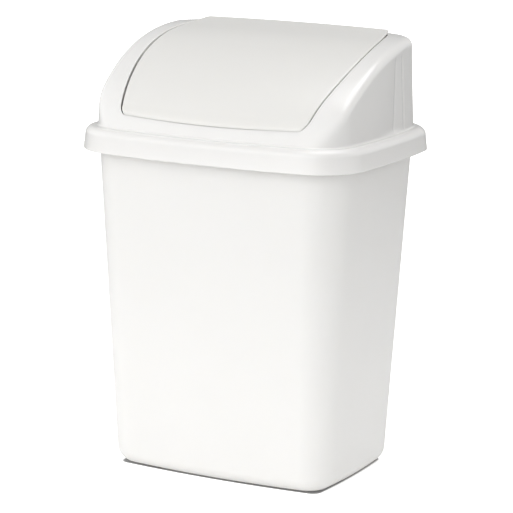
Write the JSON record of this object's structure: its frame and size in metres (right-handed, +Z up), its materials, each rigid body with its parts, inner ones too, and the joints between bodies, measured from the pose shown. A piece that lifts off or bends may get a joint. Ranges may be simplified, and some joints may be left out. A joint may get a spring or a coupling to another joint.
{
  "type": "countertop swing-lid bin",
  "caption": "Small tapered bin with a lift-off hood lid and a swing flap that tips open at the front and falls shut by its own weight.",
  "frame": {"origin": "on the table, under the middle of the bin's bounding box", "axes": "+X to the bin's own left-right width, -Y is the front with the flap's lower edge, +Z up"},
  "size_m": [0.205, 0.162, 0.2915],
  "materials": {
    "bucket_plastic": "smooth moulded, soft gloss",
    "lid_plastic": "smooth moulded, soft gloss",
    "flap_plastic": "smooth moulded, soft gloss"
  },
  "bodies": {
    "bucket": {"bucket": "bucket_plastic"},
    "lid": {"hood": "lid_plastic"},
    "flap": {"flap": "flap_plastic"}
  },
  "joints": [
    {"name": "hood_lift", "type": "slide", "parent": "bucket", "child": "lid", "axis": [0, 0, 1], "range_m": [0, 0.06]},
    {"name": "flap_swing", "type": "hinge", "parent": "lid", "child": "flap", "pos_m": [0, -0.009, 0.26787], "axis": [1, 0, 0], "range_deg": [0, 70]}
  ]
}
